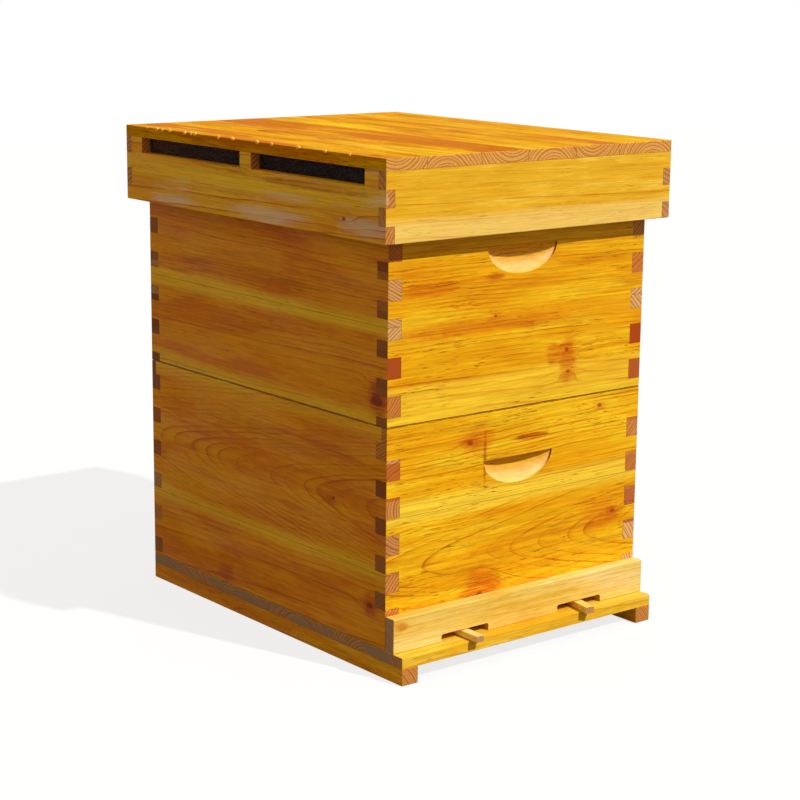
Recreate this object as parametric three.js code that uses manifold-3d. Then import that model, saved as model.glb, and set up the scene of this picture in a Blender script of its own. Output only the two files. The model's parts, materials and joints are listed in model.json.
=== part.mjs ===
// A framed beehive: two finger-jointed timber boxes with hanging frames, on a bottom board with a landing
// strip, under an inner cover and a telescoping ventilated lid. Millimetres, +X right, +Y back, +Z up.
import * as THREE from "three";
import { mergeVertices } from "three/addons/utils/BufferGeometryUtils.js";
import Module from "manifold-3d";

const wasm = await Module();
wasm.setup();

// Gaps and overruns
const seam = 0.3; // between neighbouring pieces
const overrun = 5; // how far a cutter passes the face that it cuts

// Boxes
const boxWidth = 413;
const boxLength = 513;
const wall = 20;
const lowerBoxHeight = 271;
const upperBoxHeight = 245;

// Finger joints of the boxes: the front and back boards' fingers, counted down from the top one
const fingerPitch = 45.6;
const endFinger = 20;
const lowerTopFinger = 39;
const upperTopFinger = 25.7;

// Rebate that carries the frames, along the inner top edge of the front and back boards
const rebateDepth = 18.9;
const rebateLip = 9.7;

// Handholds: a flat lip above a round-bottomed scoop
const handholdWidth = 112;
const handholdHeight = 34;
const handholdDepth = 12;
const lowerHandholdDrop = 61; // of the lip below the top of its box
const upperHandholdDrop = 46.5;

// Bottom board
const runnerWidth = 24.5;
const runnerHeight = 20.7;
const floorThickness = 14;
const floorPlanks = 4;
const landing = 33; // how far the floor stands out in front of the boxes
const entranceGap = 25; // under the lower front board

// Entrance bar and its swivel sticks
const barThickness = 16;
const barHeight = 42.5;
const notchWidth = 75;
const notchHeight = 9.6;
const notchChamfer = 2;
const notchSpacing = 190;
const stickWidth = 12;
const stickEndGap = 1; // to either side of the notch, when the stick is turned across it
const stickTopGap = 1.3; // to the top of the notch
const rightStickTurn = -11; // degrees
const nailRadius = 1.5;
const nailHeadRadius = 3.4;
const nailHeadThickness = 1.2;
const nailCover = 6.9; // of wood left above the nail's tip
const runningGap = 0.3;
const stickLength = notchWidth - 2 * stickEndGap;
const stickHeight = notchHeight - stickTopGap - seam;

// Frames
const frameSpacing = 35.3;
const lugEndGap = 5.8; // from a lug's end to the lip of the rebate
const endBarGap = 12.5; // from an end bar to the front or back board
const lowerFrameGap = 30.4; // under the frames, to the bottom of their box
const upperFrameGap = 4.4;
const topBarWidth = 27;
const topBarThickness = 19;
const lugThickness = 10;
const endBarThickness = 9.5;
const endBarWidth = 35;
const endBarWaist = 28;
const endBarShoulder = 95; // height of the wide upper part of an end bar
const shoulderSlope = 14;
const bottomBarWidth = 19;
const bottomBarThickness = 9.5;
const foundationThickness = 3;
const framesPerBox = Math.floor((boxWidth - 2 * wall) / frameSpacing);
const topBarLength = boxLength - 2 * (rebateLip + lugEndGap);
const frameLength = boxLength - 2 * (wall + endBarGap); // over the end bars

// Inner cover
const coverThickness = 9.5;
const coverRimWidth = 19;
const coverRimHeight = 9.5;
const beeHoleLength = 95;
const beeHoleWidth = 32;

// Lid
const lidOverhang = 21;
const lidWall = 13;
const lidSkirt = 83;
const lidTopThickness = 14;
const lidFingers = 4;
const lidDrop = 27.2; // of the skirt below the top of the upper box
const ventHeight = 20;
const ventPost = 26;
const ventDivider = 24;
const railThickness = 24;
const railEndGap = 5; // between a rail's end and the wire beside it

// Wire mesh behind the vents
const wireThickness = 1.2;
const meshMargin = 8; // beyond the slots
const meshColumns = 40;
const meshRows = 2;

// Levels above the ground
const floorBottom = runnerHeight + seam;
const floorTop = floorBottom + floorThickness;
const lowerBoxBottom = floorTop + seam;
const upperBoxBottom = lowerBoxBottom + lowerBoxHeight + seam;
const upperBoxTop = upperBoxBottom + upperBoxHeight;
const coverBottom = upperBoxTop + seam;
const coverRimBottom = coverBottom + coverThickness + seam;
const coverRimTop = coverRimBottom + coverRimHeight;
const skirtBottom = upperBoxTop - lidDrop;

// Places along Y, with zero at the front faces of the boxes
const barBack = -seam;
const pivotY = barBack - barThickness / 2;
const lidFront = -lidOverhang;
const lidBack = boxLength + lidOverhang;
const lidHalfWidth = boxWidth / 2 + lidOverhang;
const stickTurnRadians = THREE.MathUtils.degToRad(Math.abs(rightStickTurn));
const straightReach = stickLength / 2;
const turnedReach =
  (stickLength / 2) * Math.cos(stickTurnRadians) + (stickWidth / 2) * Math.sin(stickTurnRadians);
const furthestFront = Math.min(pivotY - Math.max(straightReach, turnedReach), -landing, lidFront);
const middleY = (furthestFront + lidBack) / 2; // the origin stands under the middle of the whole

function wood(color, roughness) {
  return new THREE.MeshStandardMaterial({ color, roughness, metalness: 0 });
}

const cedar = wood(0xd9952f, 0.5);
const shadedCedar = wood(0x9a6a3c, 0.55);
const lidCedar = wood(0xc98b3c, 0.5);
const floorCedar = wood(0xcf9a4a, 0.6);
const paleWood = wood(0xe9cf9a, 0.65);
const frameWood = wood(0xe0bd84, 0.7);
const coverWood = wood(0xc9984f, 0.6);
const steel = new THREE.MeshStandardMaterial({ color: 0x8a8a88, roughness: 0.4, metalness: 1 });

function toSolid(geometry) {
  const bare = geometry.clone();
  bare.deleteAttribute("normal");
  bare.deleteAttribute("uv");
  const merged = mergeVertices(bare);
  return new wasm.Manifold(
    new wasm.Mesh({
      numProp: 3,
      vertProperties: merged.attributes.position.array,
      triVerts: new Uint32Array(merged.index.array),
    }),
  );
}

function toMesh(name, solid, material) {
  const made = solid.getMesh();
  const geometry = new THREE.BufferGeometry();
  geometry.setAttribute("position", new THREE.BufferAttribute(made.vertProperties, 3));
  geometry.setIndex(new THREE.BufferAttribute(made.triVerts, 1));
  const mesh = new THREE.Mesh(geometry.toNonIndexed(), material);
  mesh.geometry.computeVertexNormals();
  mesh.name = name;
  return mesh;
}

// A box between two values along each axis.
function block([x0, x1], [y0, y1], [z0, z1]) {
  const geometry = new THREE.BoxGeometry(x1 - x0, y1 - y0, z1 - z0);
  geometry.translate((x0 + x1) / 2, (y0 + y1) / 2, (z0 + z1) / 2);
  return toSolid(geometry);
}

// An outline in X and Z, [x, z] points, drawn through a depth along Y from y0 to y1.
function boardFromOutline(points, [y0, y1]) {
  const shape = new THREE.Shape(points.map(([x, z]) => new THREE.Vector2(x, z)));
  const geometry = new THREE.ExtrudeGeometry(shape, { depth: y1 - y0, bevelEnabled: false });
  geometry.rotateX(Math.PI / 2);
  geometry.translate(0, y1, 0);
  return toSolid(geometry);
}

// The heights [from, to] of the end boards' fingers below the top one, in the frame of their box.
function fingerLevels(height, topFinger, lowest) {
  const levels = [];
  for (let from = height - topFinger - fingerPitch; from + endFinger > lowest; from -= fingerPitch)
    levels.push([Math.max(from, lowest), from + endFinger]);
  return levels;
}

// The lower half of a flattened ball set into the board's face: a flat lip with a round-bottomed scoop below.
function handholdCutter(lipHeight) {
  const half = handholdWidth / 2;
  const sides = 64;
  const geometry = new THREE.SphereGeometry(1, sides, sides / 2);
  geometry.scale(half, handholdDepth, handholdHeight);
  const belowLip = block([-half - overrun, half + overrun], [-overrun, wall], [-2 * handholdHeight, 0]);
  return toSolid(geometry).intersect(belowLip).translate(0, 0, lipHeight);
}

// A front or back board. Its outer face is at y = 0 and its bottom edge at z = bottom.
function endBoard(name, box, bottom, material) {
  const { height, topFinger, handholdDrop } = box;
  const half = boxWidth / 2;
  const core = half - wall - seam;
  const rebateBottom = height - rebateDepth;
  let solid = block([-core, core], [0, wall], [bottom, rebateBottom])
    .add(block([-half, half], [0, wall], [height - topFinger, rebateBottom]))
    .add(block([-half, half], [0, rebateLip], [height - topFinger, height]));
  for (const level of fingerLevels(height, topFinger, bottom))
    solid = solid.add(block([-half, half], [0, wall], level));
  return toMesh(name, solid.subtract(handholdCutter(height - handholdDrop)), material);
}

// A left or right board, wall thick along X from x = 0, with notches for the end boards' fingers.
function sideBoard(name, box, frontBottom, material) {
  const { height, topFinger } = box;
  let solid = block([0, wall], [0, boxLength], [0, height]);
  const rebateBottom = height - rebateDepth;
  const cutEnd = (inset, lowest, highest, atFront) => {
    const y = atFront ? [-overrun, inset + seam] : [boxLength - inset - seam, boxLength + overrun];
    const x = [-overrun, wall + overrun];
    solid = solid.subtract(block(x, y, [lowest, highest]));
  };
  for (const atFront of [true, false]) {
    const lowest = atFront ? frontBottom : 0;
    cutEnd(wall, height - topFinger - seam, rebateBottom + seam, atFront);
    cutEnd(rebateLip, rebateBottom, height + overrun, atFront);
    for (const [from, to] of fingerLevels(height, topFinger, lowest))
      cutEnd(wall, from > 0 ? from - seam : -overrun, to + seam, atFront);
  }
  return toMesh(name, solid, material);
}

// The four boards of one box, with the box's bottom at z = 0 and its front face at y = 0.
function boxBoards(prefix, box) {
  const group = new THREE.Group();
  const frontBottom = box.frontBottom;
  const front = endBoard(prefix + "_front_board", box, frontBottom, cedar);
  const back = endBoard(prefix + "_back_board", box, 0, cedar);
  back.rotation.z = Math.PI;
  back.position.y = boxLength;
  const left = sideBoard(prefix + "_left_board", box, frontBottom, shadedCedar);
  left.position.x = -boxWidth / 2;
  const right = sideBoard(prefix + "_right_board", box, frontBottom, shadedCedar);
  right.position.x = boxWidth / 2 - wall;
  group.add(front, back, left, right);
  return group;
}

// A hanging frame: top bar with lugs, two shouldered end bars, bottom bar and a sheet of foundation.
// Its middle is at x = 0 and y = 0, and its lugs rest at z = 0.
function frame(name, frameHeight) {
  const halfTop = topBarLength / 2;
  const halfFrame = frameLength / 2;
  const top = lugThickness;
  const bottom = top - frameHeight;
  const barBottom = top - topBarThickness;
  const halfBar = topBarWidth / 2;
  const halfWide = endBarWidth / 2;
  const halfWaist = endBarWaist / 2;
  const shoulder = top - endBarShoulder;
  const endOutline = [
    [-halfWide, 0],
    [-halfWide, shoulder],
    [-halfWaist, shoulder - shoulderSlope],
    [-halfWaist, bottom],
    [halfWaist, bottom],
    [halfWaist, shoulder - shoulderSlope],
    [halfWide, shoulder],
    [halfWide, 0],
  ];
  let solid = block([-halfBar, halfBar], [-halfTop, halfTop], [0, top]);
  const inner = halfFrame - endBarThickness;
  solid = solid.add(block([-halfBar, halfBar], [-inner, inner], [barBottom, top]));
  solid = solid.add(boardFromOutline(endOutline, [-halfFrame, -inner]));
  solid = solid.add(boardFromOutline(endOutline, [inner, halfFrame]));
  const halfBottom = bottomBarWidth / 2;
  const bottomBarTop = bottom + bottomBarThickness;
  solid = solid.add(block([-halfBottom, halfBottom], [-halfFrame, halfFrame], [bottom, bottomBarTop]));
  const halfSheet = foundationThickness / 2;
  solid = solid.add(block([-halfSheet, halfSheet], [-inner, inner], [bottom, top]));
  return toMesh(name, solid, frameWood);
}

function framesIn(prefix, box) {
  const group = new THREE.Group();
  const lugBottom = box.height - rebateDepth + seam;
  const frameHeight = lugBottom + lugThickness - box.frameGap;
  for (let i = 0; i < framesPerBox; i++) {
    const made = frame(prefix + "_frame_" + String(i + 1).padStart(2, "0"), frameHeight);
    made.position.x = (i - (framesPerBox - 1) / 2) * frameSpacing;
    made.position.y = boxLength / 2;
    made.position.z = lugBottom;
    group.add(made);
  }
  return group;
}

function bottomBoard() {
  const group = new THREE.Group();
  const length = boxLength + landing;
  const pitch = length / floorPlanks;
  const half = boxWidth / 2;
  for (let i = 0; i < floorPlanks; i++) {
    const y = [i * pitch + (i ? seam : 0), (i + 1) * pitch];
    const plank = block([-half, half], y, [0, floorThickness]);
    const made = toMesh("floor_plank_" + (i + 1), plank, floorCedar);
    made.position.set(0, -landing, floorBottom);
    group.add(made);
  }
  for (const [name, x] of [
    ["runner_left", -half],
    ["runner_right", half - runnerWidth],
  ]) {
    const runner = toMesh(name, block([0, runnerWidth], [0, length], [0, runnerHeight]), floorCedar);
    runner.position.set(x, -landing, 0);
    group.add(runner);
  }
  return group;
}

// The bar across the entrance, its notches, sticks and nails, standing on z = 0 with its middle at y = 0.
function entrance() {
  const group = new THREE.Group();
  const half = boxWidth / 2;
  const halfNotch = notchWidth / 2;
  const outline = [[-half, 0]];
  for (const middle of [-notchSpacing / 2, notchSpacing / 2])
    outline.push(
      [middle - halfNotch, 0],
      [middle - halfNotch, notchHeight - notchChamfer],
      [middle - halfNotch + notchChamfer, notchHeight],
      [middle + halfNotch - notchChamfer, notchHeight],
      [middle + halfNotch, notchHeight - notchChamfer],
      [middle + halfNotch, 0],
    );
  outline.push([half, 0], [half, barHeight], [-half, barHeight]);
  let bar = boardFromOutline(outline, [-barThickness / 2, barThickness / 2]);
  const sides = 16;
  const drill = (radius, from, to) => {
    const geometry = new THREE.CylinderGeometry(radius, radius, to - from, sides);
    geometry.rotateX(Math.PI / 2);
    geometry.translate(0, 0, (from + to) / 2);
    return toSolid(geometry);
  };
  const headTop = seam + nailHeadThickness;
  const nailTip = barHeight - nailCover;
  for (const [side, middle, turn] of [
    ["left", -notchSpacing / 2, 0],
    ["right", notchSpacing / 2, rightStickTurn],
  ]) {
    bar = bar.subtract(drill(nailRadius + runningGap, -overrun, nailTip + runningGap).translate(middle, 0, 0));
    const stick = block(
      [-stickWidth / 2, stickWidth / 2],
      [-stickLength / 2, stickLength / 2],
      [seam, seam + stickHeight],
    )
      .subtract(drill(nailHeadRadius + runningGap, -overrun, headTop + runningGap))
      .subtract(drill(nailRadius + runningGap, 0, stickHeight + overrun));
    const stickMesh = toMesh("stick_" + side, stick, paleWood);
    stickMesh.position.x = middle;
    stickMesh.rotation.z = THREE.MathUtils.degToRad(turn);
    const nail = drill(nailHeadRadius, seam, headTop).add(drill(nailRadius, seam, nailTip));
    const nailMesh = toMesh("swivel_nail_" + side, nail, steel);
    nailMesh.position.x = middle;
    group.add(stickMesh, nailMesh);
  }
  group.add(toMesh("entrance_bar", bar, paleWood));
  group.position.set(0, pivotY, floorTop + seam);
  return group;
}

function innerCover() {
  const group = new THREE.Group();
  const half = boxWidth / 2;
  const inner = half - coverRimWidth;
  const board = block([-half, half], [0, boxLength], [0, coverThickness]);
  const straight = (beeHoleLength - beeHoleWidth) / 2;
  const hole = new THREE.Shape();
  hole.absarc(straight, 0, beeHoleWidth / 2, -Math.PI / 2, Math.PI / 2);
  hole.absarc(-straight, 0, beeHoleWidth / 2, Math.PI / 2, (3 * Math.PI) / 2);
  const cutter = new THREE.ExtrudeGeometry(hole, {
    depth: coverThickness + 2 * overrun,
    bevelEnabled: false,
    curveSegments: 8,
  });
  cutter.translate(0, boxLength / 2, -overrun);
  const boardMesh = toMesh("inner_cover_board", board.subtract(toSolid(cutter)), coverWood);
  boardMesh.position.z = coverBottom;
  const rim = block([-half, half], [0, boxLength], [0, coverRimHeight]).subtract(
    block([-inner, inner], [coverRimWidth, boxLength - coverRimWidth], [-overrun, coverRimHeight + overrun]),
  );
  const rimMesh = toMesh("inner_cover_rim", rim, coverWood);
  rimMesh.position.z = coverRimBottom;
  group.add(boardMesh, rimMesh);
  return group;
}

const lidLength = lidBack - lidFront;
const ventLength = (lidLength - 2 * lidWall - 2 * ventPost - ventDivider) / 2;
const ventStarts = [lidWall + ventPost, lidWall + ventPost + ventLength + ventDivider];
const lidFinger = lidSkirt / lidFingers;

// A front or back skirt board: it owns the first, third, ... fingers counted from the top.
function lidEnd(name) {
  const core = lidHalfWidth - lidWall - seam;
  let solid = block([-core, core], [0, lidWall], [0, lidSkirt]);
  for (let i = 0; i < lidFingers; i += 2) {
    const level = [lidSkirt - (i + 1) * lidFinger, lidSkirt - i * lidFinger];
    solid = solid.add(block([-lidHalfWidth, lidHalfWidth], [0, lidWall], level));
  }
  return toMesh(name, solid, lidCedar);
}

// A left or right skirt board, with vent slots cut down from its top edge.
function lidSide(name) {
  let solid = block([0, lidWall], [0, lidLength], [0, lidSkirt]);
  const cut = (y, z) => {
    solid = solid.subtract(block([-overrun, lidWall + overrun], y, z));
  };
  for (let i = 0; i < lidFingers; i += 2) {
    const level = [lidSkirt - (i + 1) * lidFinger - seam, lidSkirt - i * lidFinger + (i ? seam : overrun)];
    cut([-overrun, lidWall + seam], level);
    cut([lidLength - lidWall - seam, lidLength + overrun], level);
  }
  for (const start of ventStarts)
    cut([start, start + ventLength], [lidSkirt - ventHeight, lidSkirt + overrun]);
  return toMesh(name, solid, lidCedar);
}

const meshLength = 2 * ventLength + ventDivider + 2 * meshMargin;
const meshHeight = ventHeight + meshMargin;

// Wire cloth: a flat net of square gaps, standing in the Y and Z plane from x = 0.
function wireNet(name) {
  const columnPitch = (meshLength - wireThickness) / meshColumns;
  const rowPitch = (meshHeight - wireThickness) / meshRows;
  const gaps = [];
  for (let column = 0; column < meshColumns; column++) {
    const y = [column * columnPitch + wireThickness, (column + 1) * columnPitch];
    for (let row = 0; row < meshRows; row++) {
      const z = [row * rowPitch + wireThickness, (row + 1) * rowPitch];
      gaps.push(block([-overrun, overrun], y, z));
    }
  }
  const sheet = block([0, wireThickness], [0, meshLength], [0, meshHeight]);
  return toMesh(name, sheet.subtract(wasm.Manifold.union(gaps)), steel);
}

function lid() {
  const group = new THREE.Group();
  const front = lidEnd("lid_front_board");
  front.position.y = lidFront;
  const back = lidEnd("lid_back_board");
  back.position.y = lidBack - lidWall;
  const left = lidSide("lid_left_board");
  left.position.set(-lidHalfWidth, lidFront, 0);
  const right = lidSide("lid_right_board");
  right.position.set(lidHalfWidth - lidWall, lidFront, 0);
  const panel = block([-lidHalfWidth, lidHalfWidth], [lidFront, lidBack], [0, lidTopThickness]);
  const top = toMesh("lid_top", panel, lidCedar);
  top.position.z = lidSkirt + seam;
  const netX = lidHalfWidth - lidWall - seam;
  const netY = lidFront + ventStarts[0] - meshMargin;
  const netZ = lidSkirt - meshHeight - seam;
  const leftNet = wireNet("vent_mesh_left");
  leftNet.position.set(-netX, netY, netZ);
  const rightNet = wireNet("vent_mesh_right");
  rightNet.position.set(netX - wireThickness, netY, netZ);
  const railHalf = netX - wireThickness - railEndGap;
  const railBottom = coverRimTop + seam - skirtBottom;
  const railShape = block([-railHalf, railHalf], [0, railThickness], [railBottom, lidSkirt]);
  const frontRail = toMesh("lid_rail_front", railShape, coverWood);
  frontRail.position.y = lidFront + lidWall + seam;
  const backRail = toMesh("lid_rail_back", railShape, coverWood);
  backRail.position.y = lidBack - lidWall - seam - railThickness;
  group.add(front, back, left, right, top, leftNet, rightNet, frontRail, backRail);
  group.position.z = skirtBottom;
  return group;
}

const lowerBox = {
  height: lowerBoxHeight,
  topFinger: lowerTopFinger,
  handholdDrop: lowerHandholdDrop,
  frameGap: lowerFrameGap,
  frontBottom: entranceGap,
};
const upperBox = {
  height: upperBoxHeight,
  topFinger: upperTopFinger,
  handholdDrop: upperHandholdDrop,
  frameGap: upperFrameGap,
  frontBottom: 0,
};

const lower = new THREE.Group();
lower.add(boxBoards("lower", lowerBox), framesIn("lower", lowerBox));
lower.position.z = lowerBoxBottom;
const upper = new THREE.Group();
upper.add(boxBoards("upper", upperBox), framesIn("upper", upperBox));
upper.position.z = upperBoxBottom;

const hive = new THREE.Group();
hive.add(bottomBoard(), entrance(), lower, upper, innerCover(), lid());
hive.position.y = -middleY;

const beehive = new THREE.Group();
beehive.add(hive);

export default beehive;
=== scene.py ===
import json
import math

import bmesh
import bpy
from mathutils import Matrix, Vector, noise


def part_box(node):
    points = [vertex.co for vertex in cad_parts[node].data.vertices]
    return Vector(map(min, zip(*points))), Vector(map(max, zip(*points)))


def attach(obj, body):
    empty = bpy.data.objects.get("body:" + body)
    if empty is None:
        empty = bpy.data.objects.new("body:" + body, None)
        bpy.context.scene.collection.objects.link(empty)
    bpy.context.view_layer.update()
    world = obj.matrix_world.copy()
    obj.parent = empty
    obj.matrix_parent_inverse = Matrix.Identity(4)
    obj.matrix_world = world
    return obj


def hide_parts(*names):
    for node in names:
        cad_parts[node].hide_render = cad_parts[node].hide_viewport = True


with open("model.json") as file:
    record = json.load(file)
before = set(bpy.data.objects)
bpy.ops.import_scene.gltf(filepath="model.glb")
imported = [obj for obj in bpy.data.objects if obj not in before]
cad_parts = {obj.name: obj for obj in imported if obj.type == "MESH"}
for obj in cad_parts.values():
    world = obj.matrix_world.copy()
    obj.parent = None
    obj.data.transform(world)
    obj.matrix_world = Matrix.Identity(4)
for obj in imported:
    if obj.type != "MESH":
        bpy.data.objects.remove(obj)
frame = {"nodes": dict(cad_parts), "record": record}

MM = 0.001
scene = bpy.context.scene
nodes = frame["nodes"]
body_of = {n: body for body, members in frame["record"]["behaviour"]["bodies"].items() for n in members}
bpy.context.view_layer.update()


def span(*names):
    """The box round several CAD nodes, as its lowest and highest corners."""
    boxes = [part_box(n) for n in names]
    low = Vector([min(b[0][i] for b in boxes) for i in range(3)])
    high = Vector([max(b[1][i] for b in boxes) for i in range(3)])
    return low, high


def boards(prefix):
    return [f"{prefix}_{side}_board" for side in ("front", "back", "left", "right")]


LOWER = span(*boards("lower"))
UPPER = span(*boards("upper"))
LID = span(*boards("lid"), "lid_top")
FLOOR = span("floor_plank_1", "floor_plank_4", "runner_left", "runner_right")

# Camera

CAMERA_PLACE = Vector((-1.6221, -2.0276, 0.8369))
CAMERA_YAW = math.radians(38.817)
CAMERA_PITCH = math.radians(-12.293)
CAMERA_ROLL = math.radians(0.609)
SENSOR = 36
FOCAL_SHARE = 2015.5 / 800  # focal length over the frame's width


def make_camera():
    ahead = Vector((
        math.sin(CAMERA_YAW) * math.cos(CAMERA_PITCH),
        math.cos(CAMERA_YAW) * math.cos(CAMERA_PITCH),
        math.sin(CAMERA_PITCH),
    ))
    level = ahead.cross(Vector((0, 0, 1))).normalized()
    upright = level.cross(ahead)
    right = math.cos(CAMERA_ROLL) * level + math.sin(CAMERA_ROLL) * upright
    up = -math.sin(CAMERA_ROLL) * level + math.cos(CAMERA_ROLL) * upright
    data = bpy.data.cameras.new("camera")
    data.sensor_width = SENSOR
    data.lens = SENSOR * FOCAL_SHARE
    data.clip_end = 50
    camera = bpy.data.objects.new("camera", data)
    turned = Matrix((right, up, -ahead)).transposed().to_4x4()
    camera.matrix_world = Matrix.Translation(CAMERA_PLACE) @ turned
    scene.collection.objects.link(camera)
    scene.camera = camera


# Light and floor

TOWARDS_SUN = Vector((0.33, -1.0, 1.1))
SUN_STRENGTH = 3.15
SUN_ANGLE = math.radians(1.2)
SKY_LEVEL = 0.46
SKY_COLOR = (1.0, 0.87, 0.72, 1)
FLOOR_SIZE = 12
FLOOR_SEEN = 0.95  # how pale the floor looks
FLOOR_BOUNCE = 0.14  # how pale it is for the light that it throws back on the object
FLOOR_GLOW_SHARE = 0.8  # of white that the floor shows the camera, over its own shade


def make_light():
    sun = bpy.data.lights.new("sun", "SUN")
    sun.energy = SUN_STRENGTH
    sun.angle = SUN_ANGLE
    sun.color = (1.0, 0.99, 0.96)
    lamp = bpy.data.objects.new("sun", sun)
    lamp.rotation_euler = TOWARDS_SUN.to_track_quat("Z", "Y").to_euler()
    scene.collection.objects.link(lamp)
    world = bpy.data.worlds.new("world")
    scene.world = world
    world.use_nodes = True
    tree = world.node_tree
    tree.nodes.clear()
    output = tree.nodes.new("ShaderNodeOutputWorld")
    sky = tree.nodes.new("ShaderNodeBackground")
    sky.inputs["Color"].default_value = SKY_COLOR
    sky.inputs["Strength"].default_value = SKY_LEVEL
    white = tree.nodes.new("ShaderNodeBackground")
    white.inputs["Color"].default_value = (1, 1, 1, 1)
    mix = tree.nodes.new("ShaderNodeMixShader")
    seen = seen_rays(tree)
    tree.links.new(seen, mix.inputs[0])
    tree.links.new(sky.outputs[0], mix.inputs[1])
    tree.links.new(white.outputs[0], mix.inputs[2])
    tree.links.new(mix.outputs[0], output.inputs[0])


def seen_rays(tree):
    """1 for camera, glossy and transmission rays, and 0 for the rays that light the object."""
    path = tree.nodes.new("ShaderNodeLightPath")
    first = tree.nodes.new("ShaderNodeMath")
    first.operation = "MAXIMUM"
    second = tree.nodes.new("ShaderNodeMath")
    second.operation = "MAXIMUM"
    tree.links.new(path.outputs["Is Camera Ray"], first.inputs[0])
    tree.links.new(path.outputs["Is Glossy Ray"], first.inputs[1])
    tree.links.new(first.outputs[0], second.inputs[0])
    tree.links.new(path.outputs["Is Transmission Ray"], second.inputs[1])
    return second.outputs[0]


def make_floor():
    half = FLOOR_SIZE / 2
    mesh = bpy.data.meshes.new("floor")
    mesh.from_pydata([(-half, -half, 0), (half, -half, 0), (half, half, 0), (-half, half, 0)], [], [(0, 1, 2, 3)])
    floor = bpy.data.objects.new("floor", mesh)
    scene.collection.objects.link(floor)
    material = bpy.data.materials.new("floor")
    material.use_nodes = True
    tree = material.node_tree
    tree.nodes.clear()
    output = tree.nodes.new("ShaderNodeOutputMaterial")
    paint = tree.nodes.new("ShaderNodeBsdfDiffuse")
    glow = tree.nodes.new("ShaderNodeEmission")
    glow.inputs["Color"].default_value = (1, 1, 1, 1)
    mix = tree.nodes.new("ShaderNodeMixShader")
    seen = seen_rays(tree)
    pale = tree.nodes.new("ShaderNodeMapRange")
    tree.links.new(seen, pale.inputs[0])
    pale.inputs["To Min"].default_value = FLOOR_BOUNCE
    pale.inputs["To Max"].default_value = FLOOR_SEEN
    tree.links.new(pale.outputs[0], paint.inputs["Color"])
    share = tree.nodes.new("ShaderNodeMath")
    share.operation = "MULTIPLY"
    share.inputs[1].default_value = FLOOR_GLOW_SHARE
    tree.links.new(seen, share.inputs[0])
    tree.links.new(share.outputs[0], mix.inputs[0])
    tree.links.new(paint.outputs[0], mix.inputs[1])
    tree.links.new(glow.outputs[0], mix.inputs[2])
    tree.links.new(mix.outputs[0], output.inputs[0])
    mesh.materials.append(material)


# Material building


def linear(red, green, blue):
    """A colour written in 0 to 255 as a screen shows it, in the renderer's own values."""
    def one(v):
        v /= 255
        return v / 12.92 if v <= 0.04045 else ((v + 0.055) / 1.055) ** 2.4
    return (one(red), one(green), one(blue), 1)


class Graph:
    """A material whose nodes are made by short calls. A value is a number, a tuple or another node's output."""

    def __init__(self, name):
        self.material = bpy.data.materials.new(name)
        self.material.use_nodes = True
        self.tree = self.material.node_tree
        self.tree.nodes.clear()
        self.output = self.tree.nodes.new("ShaderNodeOutputMaterial")
        self.coordinates = self.tree.nodes.new("ShaderNodeTexCoord")

    def put(self, socket, value):
        if isinstance(value, bpy.types.NodeSocket):
            self.tree.links.new(value, socket)
        else:
            socket.default_value = value

    def math(self, operation, *values):
        node = self.tree.nodes.new("ShaderNodeMath")
        node.operation = operation
        for socket, value in zip(node.inputs, values):
            self.put(socket, value)
        return node.outputs[0]

    def add(self, a, b):
        return self.math("ADD", a, b)

    def times(self, a, b):
        return self.math("MULTIPLY", a, b)

    def axes(self, vector):
        node = self.tree.nodes.new("ShaderNodeSeparateXYZ")
        self.put(node.inputs[0], vector)
        return list(node.outputs)

    def vector(self, x, y, z):
        node = self.tree.nodes.new("ShaderNodeCombineXYZ")
        for socket, value in zip(node.inputs, (x, y, z)):
            self.put(socket, value)
        return node.outputs[0]

    def noise(self, vector, detail=2.0, roughness=0.5, scale=1.0):
        node = self.tree.nodes.new("ShaderNodeTexNoise")
        node.noise_dimensions = "3D"
        self.put(node.inputs["Vector"], vector)
        self.put(node.inputs["Scale"], scale)
        self.put(node.inputs["Detail"], detail)
        self.put(node.inputs["Roughness"], roughness)
        return node.outputs["Fac"]

    def random(self, value):
        node = self.tree.nodes.new("ShaderNodeTexWhiteNoise")
        node.noise_dimensions = "1D"
        self.put(node.inputs["W"], value)
        return node.outputs["Value"]

    def ease(self, value, low, high, to_low=0.0, to_high=1.0):
        """value from low to high, as a smooth step from to_low to to_high."""
        node = self.tree.nodes.new("ShaderNodeMapRange")
        node.interpolation_type = "SMOOTHSTEP"
        for socket, item in zip(node.inputs, (value, low, high, to_low, to_high)):
            self.put(socket, item)
        return node.outputs[0]

    def mix(self, share, a, b, blend="MIX"):
        node = self.tree.nodes.new("ShaderNodeMix")
        node.data_type = "RGBA"
        node.blend_type = blend
        self.put(node.inputs[0], share)
        self.put(node.inputs[6], a)
        self.put(node.inputs[7], b)
        return node.outputs[2]

    def bump(self, height, strength, distance):
        node = self.tree.nodes.new("ShaderNodeBump")
        node.inputs["Strength"].default_value = strength
        node.inputs["Distance"].default_value = distance
        self.put(node.inputs["Height"], height)
        return node.outputs[0]

    def stepped(self, coordinate, edges, values):
        """values[0] before the first edge, and one more value after each edge."""
        total = values[0]
        for edge, low, high in zip(edges, values, values[1:]):
            beyond = self.math("GREATER_THAN", coordinate, edge)
            total = self.math("MULTIPLY_ADD", beyond, high - low, total)
        return total

    def surface(self, color, roughness, normal=None, **sockets):
        shader = self.tree.nodes.new("ShaderNodeBsdfPrincipled")
        self.put(shader.inputs["Base Color"], color)
        self.put(shader.inputs["Roughness"], roughness)
        if normal is not None:
            self.put(shader.inputs["Normal"], normal)
        for name, value in sockets.items():
            self.put(shader.inputs[name.replace("_", " ")], value)
        self.tree.links.new(shader.outputs[0], self.output.inputs["Surface"])
        return self.material


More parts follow.
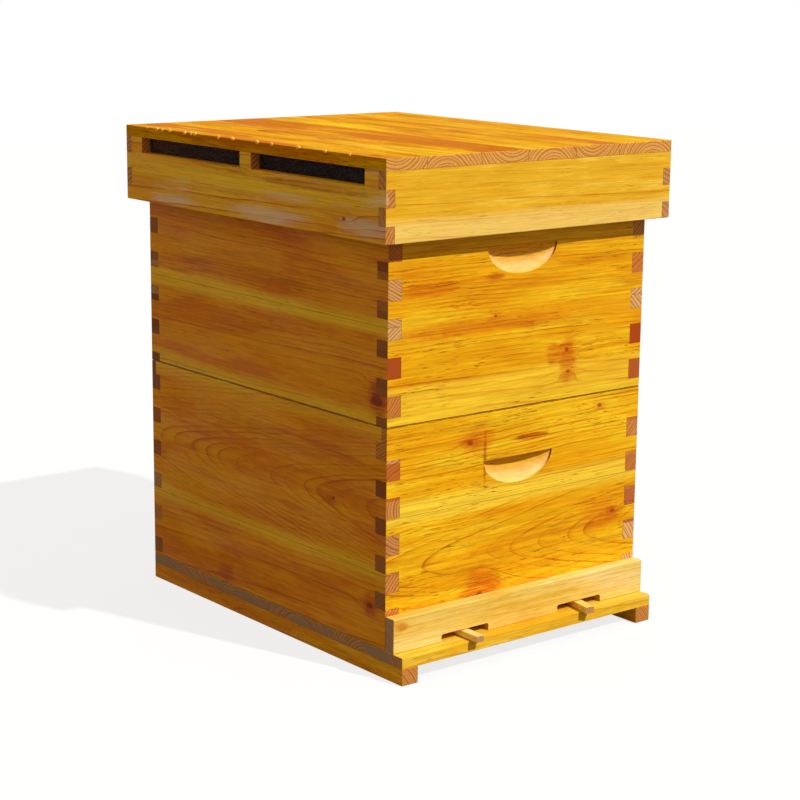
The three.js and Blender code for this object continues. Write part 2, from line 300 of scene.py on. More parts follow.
GOLD = dict(
    light=linear(250, 202, 32), mid=linear(240, 173, 8), deep=linear(226, 140, 0),
    line=linear(192, 90, 0), dash=linear(120, 34, 0), knot=linear(150, 46, 0), sap=linear(252, 214, 60),
    end=linear(226, 150, 62), end_line=linear(166, 80, 16),
)
# A more orange, slightly darker copy of GOLD for the left faces, which the sun does not reach: painted shade.
GOLD_IN_PAINTED_SHADE = dict(
    light=linear(250, 186, 26), mid=linear(242, 156, 8), deep=linear(224, 122, 0),
    line=linear(186, 84, 0), dash=linear(130, 46, 0), knot=linear(120, 34, 4), sap=linear(255, 208, 44),
    end=linear(222, 150, 72), end_line=linear(150, 82, 30),
)
TOP = dict(
    light=linear(242, 196, 20), mid=linear(228, 164, 4), deep=linear(204, 118, 0),
    line=linear(168, 70, 0), dash=linear(124, 40, 0), knot=linear(150, 46, 0), sap=linear(246, 198, 50),
    end=linear(240, 178, 92), end_line=linear(176, 96, 34),
)
PALE = dict(
    light=linear(252, 220, 142), mid=linear(242, 204, 100), deep=linear(230, 176, 48),
    line=linear(204, 134, 34), dash=linear(160, 80, 20), knot=linear(216, 112, 40), sap=linear(252, 222, 160),
    end=linear(214, 160, 104), end_line=linear(160, 108, 62),
)
LEMON = dict(
    light=linear(250, 208, 76), mid=linear(238, 182, 38), deep=linear(226, 156, 14),
    line=linear(196, 112, 8), dash=linear(140, 60, 4), knot=linear(190, 90, 10), sap=linear(252, 218, 124),
    end=linear(222, 156, 80), end_line=linear(160, 84, 28),
)
ORANGE = linear(206, 88, 0)
RUST = linear(168, 46, 0)
FRONT_TINTS = [linear(*rgb) for rgb in ((248, 208, 140), (218, 168, 100), (208, 112, 30), (176, 58, 8))]
SIDE_TINTS = [linear(*rgb) for rgb in ((180, 144, 92), (124, 86, 44), (110, 50, 14), (150, 96, 40))]
WAX_BLOOM = linear(240, 206, 168)
GRAY_END = linear(156, 130, 102)
# Painted shade of the seams between the boxes, with dirt: its dark brown, and how far it runs in from the edge.
SEAM_SHADE_AND_DIRT = linear(74, 26, 4)
SEAM_SHADE_WIDTH = 1.3 * MM
FOUNDATION_REACH = 2.5 * MM
CELL_WIDTH = 5.4 * MM
# The first is painted shade for the hollows of the foundation's cells, the second the colour of their raised walls.
COMB_HOLLOW_SHADE = linear(206, 140, 40)
COMB_HIGH = linear(250, 202, 96)


class Plank:
    """One glued-up plank of a board: it ends at `to`, across the board, and grew round a pith at (across, depth)."""

    def __init__(self, to, pith, tone=0.0, spacing=5.0 * MM, taper=0.012):
        self.to, self.pith, self.tone, self.spacing, self.taper = to, pith, tone, spacing, taper


class Knot:
    """A knot at (along, across), or without a radius an eye in the grain, with the rings pushed aside round it."""

    def __init__(self, along, across, radius, push, reach_along, reach_across, halo=1.0):
        self.along, self.across, self.radius, self.push = along, across, radius, push
        self.reach_along, self.reach_across, self.halo = reach_along, reach_across, halo


class Stain:
    """A ragged patch of orange or rust-red heartwood at (along, across)."""

    def __init__(self, along, across, half_along, half_across, amount, color=ORANGE):
        self.along, self.across, self.half_along, self.half_across = along, across, half_along, half_across
        self.amount, self.color = amount, color


class Band:
    """A stretch of paler sapwood, or of darker heartwood, along the board, with wandering edges."""

    def __init__(self, middle, half, amount, soft=5 * MM, color=None):
        self.middle, self.half, self.amount, self.soft, self.color = middle, half, amount, soft, color


def wood(name, grain, across, palette, planks, knots=(), bands=(), stains=(), seed=0.0, patch=0.6, lines=1.0,
         dashes=1.0, rough=0.52, shine=0.12, wander=10 * MM, gray=0.0, bloom=0.0, scoop=None, fingers=0.0, tints=(), seam_shade_rims=None,
         comb=0.0):
    """Planed, wax-dipped softwood: growth rings round each plank's pith, knots, stains, sapwood and end grain."""
    g = Graph(name)
    place = g.axes(g.coordinates.outputs["Object"])
    facing = g.axes(g.coordinates.outputs["Normal"])
    depth = 3 - grain - across
    along, side, deep = place[grain], place[across], place[depth]
    edges = [p.to for p in planks[:-1]]
    offset = seed * 7.31
    own = g.stepped(side, edges, [offset + 3.7 * i for i in range(len(planks))])

    def field(along_scale, side_scale, detail=2.0, roughness=0.5, shift=0.0):
        return g.noise(
            g.vector(
                g.math("MULTIPLY_ADD", along, along_scale, own),
                g.math("MULTIPLY_ADD", side, side_scale, shift + offset),
                g.times(deep, side_scale),
            ),
            detail, roughness,
        )

    # Where the rings run
    drift = g.times(g.add(field(2.1, 7.0), -0.5), 2 * wander)
    ripple = g.times(g.add(field(16.0, 60.0, 3.0, shift=5.0), -0.5), 4.5 * MM)
    warped = g.add(g.add(side, drift), ripple)
    from_pith = g.math("SUBTRACT", warped, g.stepped(side, edges, [p.pith[0] for p in planks]))
    behind = g.math("SUBTRACT", deep, g.stepped(side, edges, [p.pith[1] for p in planks]))
    distance = g.math("SQRT", g.add(g.times(from_pith, from_pith), g.times(behind, behind)))
    distance = g.add(distance, g.times(along, g.stepped(side, edges, [p.taper for p in planks])))
    ragged = g.add(field(90.0, 90.0, 4.0, 0.6, shift=11.0), -0.5)
    loose = g.add(field(28.0, 60.0, 4.0, 0.65, shift=17.0), -0.5)
    core = halo = None

    def nearness(item_along, item_side, reach_along, reach_side, blur=0.0):
        da = g.times(g.add(along, -item_along), 1 / reach_along)
        ds = g.times(g.add(side, -item_side), 1 / reach_side)
        square = g.add(g.times(da, da), g.times(ds, ds))
        if blur:
            square = g.math("MULTIPLY_ADD", loose, blur, square)
        return g.math("EXPONENT", g.times(square, -1.0))

    for knot in knots:
        bump = nearness(knot.along, knot.across, knot.reach_along, knot.reach_across, 0.5)
        distance = g.math("MULTIPLY_ADD", bump, knot.push, distance)
        if knot.halo:
            tint = g.times(bump, knot.halo)
            halo = tint if halo is None else g.math("MAXIMUM", halo, tint)
        if knot.radius:
            da = g.times(g.add(along, -knot.along), 0.72)
            ds = g.add(side, -knot.across)
            radius = g.math("SQRT", g.add(g.times(da, da), g.times(ds, ds)))
            radius = g.math("MULTIPLY_ADD", ragged, 1.6 * knot.radius, radius)
            inside = g.ease(radius, 0.5 * knot.radius, 1.05 * knot.radius, 1.0, 0.0)
            core = inside if core is None else g.math("MAXIMUM", core, inside)
    spacing = g.stepped(side, edges, [1 / p.spacing for p in planks])
    count = g.times(distance, spacing)
    uneven = g.noise(g.vector(g.times(count, 0.9), own, offset), 1.0)
    count = g.math("MULTIPLY_ADD", uneven, 1.3, count)
    phase = g.math("FRACT", count)
    ring = g.math("FLOOR", count)
    strength = g.times(
        g.ease(g.random(g.add(ring, own)), 0.0, 1.0, 0.1, 1.0),
        g.ease(field(9.0, 40.0, 2.0, shift=71.0), 0.35, 0.62, 0.25, 1.0),
    )
    late = g.times(g.ease(phase, 0.35, 0.93), g.ease(phase, 0.95, 1.0, 1.0, 0.0))
    line = g.times(g.ease(phase, 0.78, 0.90), g.ease(phase, 0.93, 1.0, 1.0, 0.0))

    # Colour along the grain
    cloud = g.ease(field(3.5, 20.0, 4.0, 0.6, shift=21.0), 0.38, 0.64)
    streak = g.ease(field(9.0, 170.0, 4.0, 0.65, shift=31.0), 0.38, 0.68)
    mottle = g.ease(field(42.0, 330.0, 4.0, 0.7, shift=37.0), 0.3, 0.7, -0.5, 0.5)
    thread = g.ease(field(9.0, 460.0, 3.0, 0.6, shift=39.0), 0.32, 0.68, -0.5, 0.5)
    fibre = field(22.0, 1300.0, 3.0, 0.65, shift=41.0)
    tone = g.stepped(side, edges, [p.tone for p in planks])
    share = g.math("ADD", g.times(cloud, patch), tone)
    share = g.math("MULTIPLY_ADD", streak, 0.38, share)
    share = g.math("MULTIPLY_ADD", mottle, 0.3, share)
    color = g.mix(g.ease(share, 0.0, 0.55), palette["light"], palette["mid"])
    color = g.mix(g.ease(share, 0.55, 1.2), color, palette["deep"])
    calm = lines
    for band in bands:
        off = g.math("ABSOLUTE", g.add(warped, -band.middle))
        inside = g.ease(off, band.half - band.soft, band.half + band.soft, band.amount, 0.0)
        color = g.mix(inside, color, band.color or palette["sap"])
        if not band.color:
            calm = g.times(calm, g.math("MULTIPLY_ADD", inside, -0.8, 1.0))
    flame = g.ease(field(6.0, 75.0, 5.0, 0.65, shift=47.0), 0.58, 0.72)
    color = g.mix(g.times(g.times(flame, 0.45), calm), color, palette["line"])
    for stain in stains:
        near = nearness(stain.along, stain.across, stain.half_along, stain.half_across, 2.4)
        near = g.times(g.ease(near, 0.2, 0.8), g.ease(thread, -0.5, 0.5, 0.55, 1.0))
        color = g.mix(g.times(near, stain.amount), color, stain.color)
    strength = g.times(strength, calm)
    color = g.mix(g.times(g.times(late, strength), 0.42), color, palette["line"])
    color = g.mix(g.times(g.times(line, strength), 0.8), color, palette["line"])
    fleck = g.ease(field(50.0, 800.0, 1.0, shift=81.0), 0.635, 0.70)
    fleck = g.times(fleck, g.ease(field(7.0, 26.0, 2.0, shift=91.0), 0.36, 0.60, 0.0, 1.0))
    color = g.mix(g.times(fleck, 0.7 * dashes), color, palette["dash"])
    if halo is not None:
        color = g.mix(g.times(g.times(halo, g.ease(mottle, -0.5, 0.5, 0.35, 1.0)), 0.75), color, ORANGE)
    if core is not None:
        color = g.mix(g.times(core, 0.8), color, palette["knot"])
    dust = g.math("MULTIPLY_ADD", thread, -0.2 * lines, g.ease(fibre, 0.3, 0.7, 0.88, 1.08))
    color = g.mix(1.0, color, g.vector(dust, dust, dust), "MULTIPLY")
    # The handhold's paler cut, laid only on its upward slopes, where the sun falls: partly the cut's own colour,
    # partly a painted highlight, with the part under the lip left dark.
    if scoop is not None:
        inside = g.math("LESS_THAN", g.math("ABSOLUTE", g.add(deep, -scoop - 7.0 * MM)), 5.9 * MM)
        sunlit_slope = g.ease(facing[Z], 0.05, 0.45)
        torn = g.ease(field(30.0, 240.0, 4.0, 0.6, shift=101.0), 0.3, 0.7, 0.4, 0.85)
        cut_and_sunlit_share = g.times(g.times(inside, sunlit_slope), torn)
        color = g.mix(cut_and_sunlit_share, color, SCOOP_CUT_AND_SUNLIT)

    # End grain
    cut = g.ease(g.math("ABSOLUTE", facing[grain]), 0.55, 0.85)
    pores = g.noise(g.vector(g.times(side, 900.0), g.times(deep, 900.0), along), 2.0)
    end = g.mix(g.ease(pores, 0.35, 0.65), palette["end"], palette["end_line"])
    end = g.mix(0.6, end, palette["end"])
    if fingers:
        # Each finger end dried in its own shade
        which = g.math("FLOOR", g.times(g.add(side, -fingers), 1 / FINGER_PITCH))
        for i, tint in enumerate(tints):
            drawn = g.random(g.math("MULTIPLY_ADD", which, 1.7, offset + 17.0 * i))
            end = g.mix(g.ease(drawn, 0.35, 1.0, 0.0, 0.9), end, tint)
    end = g.mix(g.times(late, 0.8), end, palette["end_line"])
    if gray:
        patches = g.noise(g.vector(g.times(side, 18.0), g.times(deep, 60.0), offset), 2.0)
        end = g.mix(g.times(g.ease(patches, 0.4, 0.6, 0.3, 1.0), gray), end, GRAY_END)
    color = g.mix(cut, color, end)

    # Glue lines between planks
    if edges:
        gap = None
        for edge in edges:
            off = g.math("ABSOLUTE", g.add(side, -edge))
            here = g.ease(off, 0.15 * MM, 0.6 * MM, 1.0, 0.0)
            gap = here if gap is None else g.math("MAXIMUM", gap, here)
        color = g.mix(g.times(gap, 0.6), color, palette["dash"])
    if bloom:
        wax = g.ease(field(7.0, 60.0, 5.0, 0.7, shift=51.0), 0.56, 0.68)
        color = g.mix(g.times(wax, bloom), color, WAX_BLOOM)

    if seam_shade_rims:
        # Painted shade of the seam between the boxes, with dirt and old wax, along the edges that meet the next box
        low_seam_shade = g.ease(side, seam_shade_rims[0] + SEAM_SHADE_WIDTH / 2, seam_shade_rims[0] + SEAM_SHADE_WIDTH, 1.0, 0.0)
        high_seam_shade = g.ease(side, seam_shade_rims[1] - SEAM_SHADE_WIDTH, seam_shade_rims[1] - SEAM_SHADE_WIDTH / 2)
        seam_patches = g.ease(field(60.0, 20.0, 3.0, shift=111.0), 0.3, 0.5, 0.5, 0.9)
        seam_patches = g.times(seam_patches, g.ease(g.math("ABSOLUTE", facing[Z]), 0.85, 0.97, 1.0, 0.15))
        color = g.mix(g.times(g.math("MAXIMUM", low_seam_shade, high_seam_shade), seam_patches), color, SEAM_SHADE_AND_DIRT)

    height = g.add(g.times(line, 0.6), g.times(fibre, 0.8))
    if comb:
        # Wax foundation, stamped with cells, in the middle of each frame
        within = g.math("SUBTRACT", g.math("FRACT", g.times(place[X], 1 / comb)), 0.5)
        near_middle = g.math("LESS_THAN", g.math("ABSOLUTE", within), FOUNDATION_REACH / comb)
        foil = g.times(near_middle, g.math("GREATER_THAN", g.math("ABSOLUTE", facing[X]), 0.7))
        half_z = g.times(place[Z], math.sqrt(3) / 2)
        half_y = g.times(place[Y], 0.5)
        cells = None
        for run in (place[Y], g.math("SUBTRACT", half_z, half_y), g.add(half_z, half_y)):
            wave = g.math("COSINE", g.times(run, 4 * math.pi / (math.sqrt(3) * CELL_WIDTH)))
            cells = wave if cells is None else g.add(cells, wave)
        # The low parts of the cells are painted darker: painted shade in their hollows.
        stamped = g.ease(cells, -1.5, 1.0)
        color = g.mix(foil, color, g.mix(stamped, COMB_HOLLOW_SHADE, COMB_HIGH))
        height = g.math("MULTIPLY_ADD", foil, g.times(stamped, 2.0), height)
    normal = g.bump(height, 0.35, 0.12 * MM)
    gloss = g.ease(field(8.0, 30.0, shift=61.0), 0.3, 0.7, rough - 0.06, rough + 0.1)
    gloss = g.add(gloss, g.times(cut, 0.15))
    return g.surface(color, gloss, normal, Specular_IOR_Level=shine)


def steel(name, shade, rough):
    g = Graph(name)
    spot = g.noise(g.coordinates.outputs["Object"], 3.0, 0.6, 400.0)
    color = g.mix(g.ease(spot, 0.3, 0.7), linear(shade, shade, shade), linear(shade - 40, shade - 44, shade - 50))
    return g.surface(color, g.ease(spot, 0.3, 0.7, rough, rough + 0.2), Metallic=1.0)


def wax_material():
    g = Graph("wax")
    cloud = g.noise(g.coordinates.outputs["Object"], 2.0, 0.5, 300.0)
    color = g.mix(cloud, linear(252, 196, 56), linear(240, 162, 24))
    return g.surface(color, 0.32, Specular_IOR_Level=0.4)


X, Y, Z = 0, 1, 2
FINGER_PITCH = 45.6 * MM
# Pale colour of the handhold's cut: partly its own, partly a painted highlight on its sunlit slopes.
SCOOP_CUT_AND_SUNLIT = linear(250, 214, 140)
FRONT, BACK = LOWER[0].y, LOWER[1].y
LEFT, RIGHT = LOWER[0].x, LOWER[1].x


def knot(box, start, along, up, radius, push, reach_along, reach_across, halo=1.0):
    """A Knot `along` mm from the board's `start` and `up` mm above the bottom of its box."""
    return Knot(start + along * MM, box[0].z + up * MM, radius * MM, push * MM, reach_along * MM, reach_across * MM,
                halo)


def stain(box, start, along, up, half_along, half_up, amount, color=ORANGE):
    return Stain(start + along * MM, box[0].z + up * MM, half_along * MM, half_up * MM, amount, color)


def front_materials():
    made = {}
    u, l = UPPER[0].z, LOWER[0].z
    made["upper_front_board"] = wood(
        "upper_front", X, Z, GOLD, [Plank(1.0, (u - 0.02, FRONT + 0.12), 0.1, 4.2 * MM)],
        knots=[
            knot(UPPER, LEFT, 283, 62, 3.0, 6, 26, 14, 0.7),
            knot(UPPER, LEFT, 286, 34, 3.0, -5, 22, 12, 0.6),
            knot(UPPER, LEFT, 165, 116, 2.2, 3, 14, 6, 0.8),
        ],
        stains=[
            stain(UPPER, LEFT, 284, 52, 15, 34, 0.75),
            stain(UPPER, LEFT, 262, 60, 12, 16, 0.5),
            stain(UPPER, LEFT, 60, 158, 46, 12, 0.6),
            stain(UPPER, LEFT, 165, 164, 15, 5, 0.9, RUST),
            stain(UPPER, LEFT, 320, 170, 60, 5, 0.5),
            stain(UPPER, LEFT, 150, 106, 150, 9, 0.6),
        ],
        bands=[Band(u + 0.014, 0.03, 0.45), Band(u + 0.103, 0.011, 0.4, color=GOLD["deep"])],
        seed=1, scoop=FRONT, fingers=u, tints=SIDE_TINTS, seam_shade_rims=(u, UPPER[1].z),
    )
    made["lower_front_board"] = wood(
        "lower_front", X, Z, GOLD,
        [
            Plank(l + 0.160, (l + 0.092, FRONT + 0.034), 0.15, 4.4 * MM, -0.13),
            Plank(1.0, (l + 0.42, FRONT + 0.1), 0.0, 3.8 * MM),
        ],
        knots=[
            knot(LOWER, LEFT, 148, 40, 7, 30, 34, 30, 0.9),
            knot(LOWER, LEFT, 372, 112, 3.5, 5, 16, 9, 0.8),
            knot(LOWER, LEFT, 128, 236, 4, 5, 22, 8, 0.8),
            knot(LOWER, LEFT, 343, 255, 2.6, 3, 14, 6, 0.8),
        ],
        stains=[
            stain(LOWER, LEFT, 150, 44, 34, 34, 0.75),
            stain(LOWER, LEFT, 352, 112, 44, 20, 0.55),
            stain(LOWER, LEFT, 372, 112, 14, 10, 0.7, RUST),
            stain(LOWER, LEFT, 226, 231, 34, 4, 1.0, RUST),
            stain(LOWER, LEFT, 128, 236, 20, 6, 0.7, RUST),
            stain(LOWER, LEFT, 152, 214, 3, 40, 0.8, RUST),
            stain(LOWER, LEFT, 140, 240, 26, 24, 0.5),
            stain(LOWER, LEFT, 60, 30, 60, 22, 0.4),
        ],
        bands=[Band(l + 0.166, 0.014, 0.85, 8 * MM)],
        seed=2, lines=1.25, scoop=FRONT, fingers=l, tints=SIDE_TINTS, seam_shade_rims=(l, LOWER[1].z),
    )
    for box, prefix, seed in ((LOWER, "lower", 3), (UPPER, "upper", 4)):
        z = box[0].z
        made[f"{prefix}_back_board"] = wood(
            f"{prefix}_back", X, Z, GOLD,
            [
                Plank(z + 0.13, (z - 0.03, BACK - 0.12), 0.2, 4.5 * MM),
                Plank(1.0, (z + 0.3, BACK - 0.1), 0.05, 4 * MM),
            ],
            knots=[
                knot(box, LEFT, 110, 60 + 10 * seed, 4, 12, 34, 16, 0.9),
                knot(box, LEFT, 290, 200 - 20 * seed, 3, 6, 26, 10, 0.8),
            ],
            stains=[
                stain(box, LEFT, 110, 60 + 10 * seed, 30, 22, 0.7),
                stain(box, LEFT, 270, 40 * (seed - 2), 60, 10, 0.5),
            ],
            bands=[Band(z + 0.136, 0.014, 0.8)],
            seed=seed, scoop=BACK - 14 * MM, fingers=z, tints=SIDE_TINTS, seam_shade_rims=(z, box[1].z),
        )
    return made


def side_materials():
    made = {}
    u, l = UPPER[0].z, LOWER[0].z
    for box, prefix, seed in ((LOWER, "lower", 5), (UPPER, "upper", 6)):
        z = box[0].z
        made[f"{prefix}_right_board"] = wood(
            f"{prefix}_right", Y, Z, GOLD,
            [
                Plank(z + 0.12, (z + 0.02, RIGHT - 0.1), 0.25, 4.5 * MM),
                Plank(1.0, (z + 0.3, RIGHT - 0.12), 0.1, 4 * MM),
            ],
            knots=[
                knot(box, FRONT, 350, 30 * (seed - 3), 5, 16, 40, 18, 0.9),
                knot(box, FRONT, 140, 190 - 12 * seed, 2.5, 5, 24, 9, 0.8),
            ],
            stains=[
                stain(box, FRONT, 350, 30 * (seed - 3), 34, 20, 0.7),
                stain(box, FRONT, 200, 16 * seed, 90, 8, 0.5),
            ],
            bands=[Band(z + 0.126, 0.014, 0.8)],
            seed=seed, fingers=z, tints=FRONT_TINTS, seam_shade_rims=(z, box[1].z),
        )
    made["upper_left_board"] = wood(
        "upper_left", Y, Z, GOLD_IN_PAINTED_SHADE,
        [
            Plank(u + 0.118, (u - 0.06, LEFT + 0.14), 0.4, 4.2 * MM),
            Plank(1.0, (u + 0.34, LEFT + 0.12), 0.3, 3.6 * MM),
        ],
        knots=[knot(UPPER, FRONT, 20, 31, 9, 12, 34, 24, 0.6)],
        stains=[
            stain(UPPER, FRONT, 18, 33, 20, 24, 0.9, RUST),
            stain(UPPER, FRONT, 300, 146, 200, 12, 0.45, RUST),
            stain(UPPER, FRONT, 300, 200, 160, 20, 0.3),
        ],
        bands=[Band(u + 0.119, 0.010, 0.7, 6 * MM), Band(u + 0.002, 0.014, 0.6, 7 * MM)],
        seed=7, lines=0.9, dashes=0.6, fingers=u, tints=FRONT_TINTS, seam_shade_rims=(u, UPPER[1].z),
    )
    made["lower_left_board"] = wood(
        "lower_left", Y, Z, GOLD_IN_PAINTED_SHADE,
        [
            Plank(l + 0.092, (l - 0.02, LEFT + 0.13), 0.3, 4.4 * MM),
            Plank(1.0, (l + 0.172, LEFT + 0.034), 0.3, 4.6 * MM, 0.13),
        ],
        knots=[
            knot(LOWER, FRONT, 103, 166, 2.2, 3, 14, 8, 0.5),
            knot(LOWER, FRONT, 29, 48, 5, 8, 26, 14, 0.7),
        ],
        stains=[
            stain(LOWER, FRONT, 335, 15, 24, 14, 0.8, RUST),
            stain(LOWER, FRONT, 29, 50, 16, 18, 0.7, RUST),
            stain(LOWER, FRONT, 200, 220, 180, 16, 0.35, RUST),
        ],
        bands=[Band(l + 0.094, 0.012, 0.55, 8 * MM), Band(l + 0.268, 0.012, 0.4, 8 * MM)],
        seed=8, lines=0.9, dashes=0.5, fingers=l, tints=FRONT_TINTS, seam_shade_rims=(l, LOWER[1].z),
    )
    return made


def lid_materials():
    made = {}
    low, high = LID
    z = low.z
    made["lid_front_board"] = wood(
        "lid_front", X, Z, LEMON, [Plank(1.0, (z - 0.03, low.y + 0.1), 0.05, 6 * MM)],
        bands=[Band(z + 0.008, 0.016, 0.6, 7 * MM)], seed=11, lines=0.7, dashes=0.5,
    )
    made["lid_back_board"] = wood(
        "lid_back", X, Z, LEMON, [Plank(1.0, (z - 0.05, high.y - 0.06), 0.05, 6 * MM)], seed=12, lines=0.8,
        dashes=0.5,
    )
    made["lid_left_board"] = wood(
        "lid_left", Y, Z, GOLD_IN_PAINTED_SHADE, [Plank(1.0, (z - 0.04, low.x + 0.09), -0.05, 4.6 * MM)],
        knots=[knot(LID, low.y, 78, 22, 3, 7, 30, 10, 0.4)],
        stains=[
            stain(LID, low.y, 140, 54, 130, 5, 0.7, RUST),
            stain(LID, low.y, 330, 60, 90, 5, 0.4, RUST),
            stain(LID, low.y, 440, 8, 60, 8, 0.8, WAX_BLOOM),
            stain(LID, low.y, 230, 11, 90, 10, 0.85, WAX_BLOOM),
            stain(LID, low.y, 36, 16, 50, 12, 0.85, WAX_BLOOM),
            stain(LID, low.y, 190, 36, 60, 5, 0.5, WAX_BLOOM),
        ],
        bands=[Band(z + 0.045, 0.012, 0.6, 8 * MM)], seed=13, lines=1.2, dashes=0.7, bloom=0.5,
    )
    made["lid_right_board"] = wood(
        "lid_right", Y, Z, LEMON, [Plank(1.0, (z - 0.04, high.x - 0.05), 0.1, 6 * MM)], seed=14, dashes=0.5,
        gray=0.3, bloom=0.2,
    )
    width = high.x - low.x
    shares = [0.13, 0.31, 0.47, 0.64, 0.80]
    piths = [0.02, 0.20, 0.42, 0.55, 0.70, 0.93]
    tones = [0.35, 0.05, 0.5, 0.0, 0.3, 0.1]
    tops = [Plank(low.x + s * width, None) for s in shares] + [Plank(1.0, None)]
    for plank, pith, tone in zip(tops, piths, tones):
        plank.pith = (low.x + pith * width, high.z + (0.025 if tone > 0.1 else -0.035))
        plank.tone, plank.spacing, plank.taper = tone, 4.2 * MM, 0.03
    made["lid_top"] = wood(
        "lid_top", Y, X, TOP, tops, seed=15, patch=0.8, lines=1.1, shine=0.02, rough=0.65, wander=16 * MM,
    )
    return made


def floor_materials():
    made = {}
    for i in range(1, 5):
        name = f"floor_plank_{i}"
        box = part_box(name)
        middle = (box[0].y + box[1].y) / 2
        made[name] = wood(
            name, X, Y, LEMON, [Plank(5.0, (middle, box[0].z - 0.03), 0.1 * (i % 3), 4.5 * MM)],
            seed=20 + i, gray=0.75, lines=0.7, dashes=0.5,
        )
    for i, name in enumerate(("runner_left", "runner_right")):
        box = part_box(name)
        made[name] = wood(
            name, Y, Z, GOLD_IN_PAINTED_SHADE, [Plank(5.0, (box[0].z - 0.02, box[0].x - 0.03), 0.1, 3 * MM)], seed=30 + i,
        )
    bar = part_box("entrance_bar")
    made["entrance_bar"] = wood(
        "entrance_bar", X, Z, PALE, [Plank(5.0, (bar[0].z - 0.06, bar[0].y + 0.05), 0.1, 4 * MM)],
        stains=[Stain(bar[0].x + 0.012, bar[0].z + 0.032, 0.012, 0.006, 0.8)],
        seed=33, lines=0.5, dashes=0.3, gray=0.8,
    )
    for i, name in enumerate(("stick_left", "stick_right")):
        made[name] = wood(
            name, Y, X, PALE, [Plank(5.0, (0.4, 0.0), 0.1, 3 * MM)], seed=34 + i, lines=0.5, dashes=0.3,
        )
    return made


EASE_OUTER = 0.9 * MM
EASE_INNER = 0.12 * MM
SAME = 0.02 * MM


def eased(node, bounds):
    """A copy of a CAD board with its outer corners rounded over; its other edges stay sharp."""
    mesh = nodes[node].data.copy()
    mesh.materials.clear()
    bm = bmesh.new()
    bm.from_mesh(mesh)
    bmesh.ops.remove_doubles(bm, verts=bm.verts, dist=SAME / 4)
    bmesh.ops.dissolve_limit(bm, angle_limit=math.radians(0.4), verts=bm.verts, edges=bm.edges)

    def outer(edge):
        flat = 0
        for axis in range(3):
            ends = [v.co[axis] for v in edge.verts]
            for limit in (bounds[0][axis], bounds[1][axis]):
                if all(abs(e - limit) < SAME for e in ends):
                    flat += 1
        return flat >= 2

    sharp = [e for e in bm.edges if len(e.link_faces) == 2 and e.calc_face_angle(0) > math.radians(30)]
    wide = [e for e in sharp if outer(e)]
    narrow = [e for e in sharp if not outer(e)]
    if wide:
        bmesh.ops.bevel(bm, geom=wide, offset=EASE_OUTER, segments=2, profile=0.5, affect="EDGES", clamp_overlap=True)
    del narrow
    bm.to_mesh(mesh)
    bm.free()
    piece = bpy.data.objects.new(node + "_finish", mesh)
    scene.collection.objects.link(piece)
    for polygon in mesh.polygons:
        polygon.use_smooth = True
    mesh.set_sharp_from_angle(angle=math.radians(12))
    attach(piece, body_of[node])
    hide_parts(node)
    return piece


WIRE_PITCH = 3.0 * MM
WIRE_RADIUS = 0.32 * MM
WIRE_SIDES = 5
WIRE_STEPS = 4  # per opening of the cloth


def wire_cloth(node, material):
    """Woven wire cloth in the place of a vent's plain mesh strip."""
    low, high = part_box(node)
    middle = (low[X] + high[X]) / 2
    bm = bmesh.new()

    def wire(path):
        rings = []
        for i, point in enumerate(path):
            heading = (path[min(i + 1, len(path) - 1)] - path[max(i - 1, 0)]).normalized()
            out = Vector((1, 0, 0))
            out = (out - out.dot(heading) * heading).normalized()
            third = heading.cross(out)
            turns = [2 * math.pi * k / WIRE_SIDES for k in range(WIRE_SIDES)]
            spokes = [math.cos(t) * out + math.sin(t) * third for t in turns]
            rings.append([bm.verts.new(point + WIRE_RADIUS * s) for s in spokes])
        for first, second in zip(rings, rings[1:]):
            for k in range(WIRE_SIDES):
                after = (k + 1) % WIRE_SIDES
                bm.faces.new((first[k], first[after], second[after], second[k]))
        bm.faces.new(reversed(rings[0]))
        bm.faces.new(rings[-1])

    def woven(start, end, place, phase):
        steps = round((end - start) / WIRE_PITCH * WIRE_STEPS)
        points = []
        for i in range(steps + 1):
            run = start + (end - start) * i / steps
            sway = WIRE_RADIUS * math.sin(math.pi * ((run - start) / WIRE_PITCH + 0.5 + phase))
            points.append(place(run, middle + sway))
        wire(points)

    edge = WIRE_PITCH / 2
    across = int((high[Y] - low[Y] - 2 * edge) / WIRE_PITCH) + 1
    tall = int((high[Z] - low[Z] - 2 * edge) / WIRE_PITCH) + 1
    for i in range(across):
        y = low[Y] + edge + i * WIRE_PITCH
        woven(low[Z] + WIRE_RADIUS, high[Z] - WIRE_RADIUS, lambda run, x, y=y: Vector((x, y, run)), i % 2)
    for i in range(tall):
        z = low[Z] + edge + i * WIRE_PITCH
        woven(low[Y] + WIRE_RADIUS, high[Y] - WIRE_RADIUS, lambda run, x, z=z: Vector((x, run, z)), (i + 1) % 2)
    bmesh.ops.recalc_face_normals(bm, faces=bm.faces)
    mesh = bpy.data.meshes.new(node + "_cloth")
    bm.to_mesh(mesh)
    bm.free()
    for polygon in mesh.polygons:
        polygon.use_smooth = True
    mesh.materials.append(material)
    piece = bpy.data.objects.new(node + "_cloth", mesh)
    scene.collection.objects.link(piece)
    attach(piece, body_of[node])
    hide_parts(node)


WAX_BEADS = (0.905, 0.862, 0.838, 0.806, 0.742, 0.716, 0.700, 0.604, 0.548, 0.452, 0.398, 0.300, 0.205, 0.12)


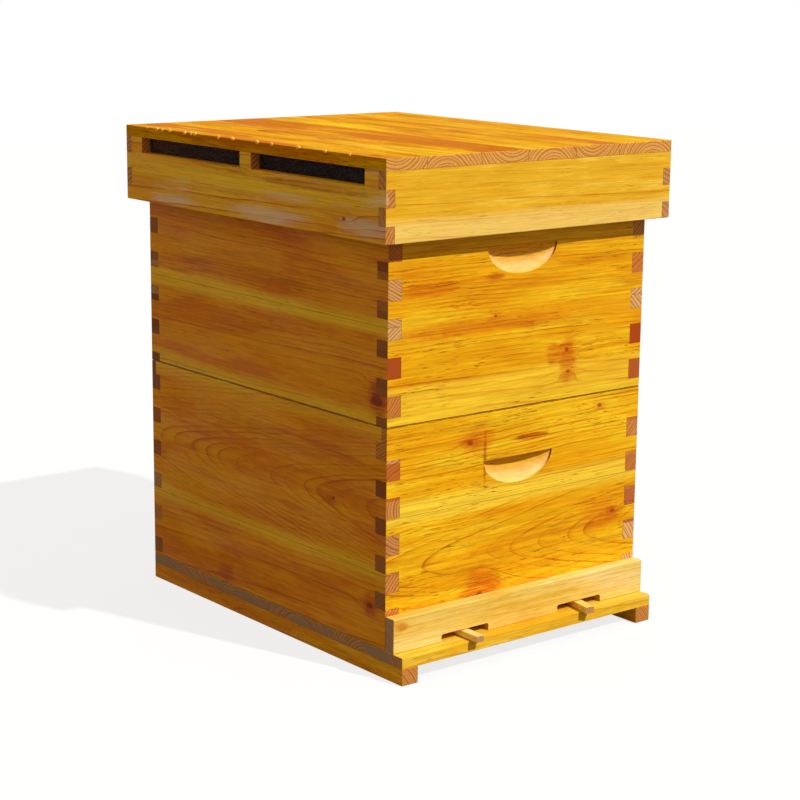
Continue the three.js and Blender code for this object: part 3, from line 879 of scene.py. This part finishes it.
def wax_beads(material):
    """Drops of wax that ran down the left edge of the lid's top and set there."""
    low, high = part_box("lid_top")
    bm = bmesh.new()
    for i, share in enumerate(WAX_BEADS):
        size = (1.5 + 1.3 * ((i * 0.618) % 1)) * MM
        drop = size * (0.9 + 0.7 * ((i * 0.382) % 1))
        y = low[1] + share * (high[1] - low[1])
        center = Vector((low[0] - 0.2 * MM, y, high[2] - 0.4 * MM - 0.5 * (drop - size)))
        ball = bmesh.ops.create_icosphere(bm, subdivisions=3, radius=1.0)
        for vert in ball["verts"]:
            x, across, up = vert.co
            wobble = 1.0 + 0.2 * noise.noise(Vector((x, across, up + 7.3 * i)) * 1.3)
            vert.co = center + Vector((0.9 * size * x, 1.25 * size * across, drop * up)) * wobble
    mesh = bpy.data.meshes.new("wax_beads")
    bm.to_mesh(mesh)
    bm.free()
    for polygon in mesh.polygons:
        polygon.use_smooth = True
    mesh.materials.append(material)
    piece = bpy.data.objects.new("wax_beads", mesh)
    scene.collection.objects.link(piece)
    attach(piece, body_of["lid_top"])


make_camera()
make_light()
make_floor()

finishes = front_materials()
finishes.update(side_materials())
finishes.update(lid_materials())
finishes.update(floor_materials())
group_bounds = {"lower": LOWER, "upper": UPPER, "lid": LID, "floor": FLOOR}
for node, material in finishes.items():
    bounds = group_bounds.get(node.split("_")[0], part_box(node))
    piece = eased(node, bounds)
    piece.data.materials.append(material)

wire = steel("wire", 74, 0.55)
nail = steel("nail", 150, 0.35)
inner_low, inner_high = span("inner_cover_board", "inner_cover_rim")
plain_wood = wood("inner_wood", X, Y, GOLD_IN_PAINTED_SHADE, [Plank(0.0, (-0.1, 0.5)), Plank(5.0, (0.12, 0.5), 0.2)], seed=41)
first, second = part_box("lower_frame_01"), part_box("lower_frame_02")
frame_spacing = abs(first[0][0] + first[1][0] - second[0][0] - second[1][0]) / 2
frame_wood = wood("frame_wood", Y, Z, PALE, [Plank(5.0, (0.1, 0.3))], seed=42, dashes=0.3, comb=frame_spacing)
for name, node in nodes.items():
    if name in finishes:
        continue
    node.data.materials.clear()
    if "mesh" in name:
        node.data.materials.append(wire)
        wire_cloth(name, wire)
    elif "nail" in name:
        node.data.materials.append(nail)
    elif "frame" in name:
        node.data.materials.append(frame_wood)
    else:
        node.data.materials.append(plain_wood)

wax_beads(wax_material())

scene.view_settings.view_transform = "Standard"
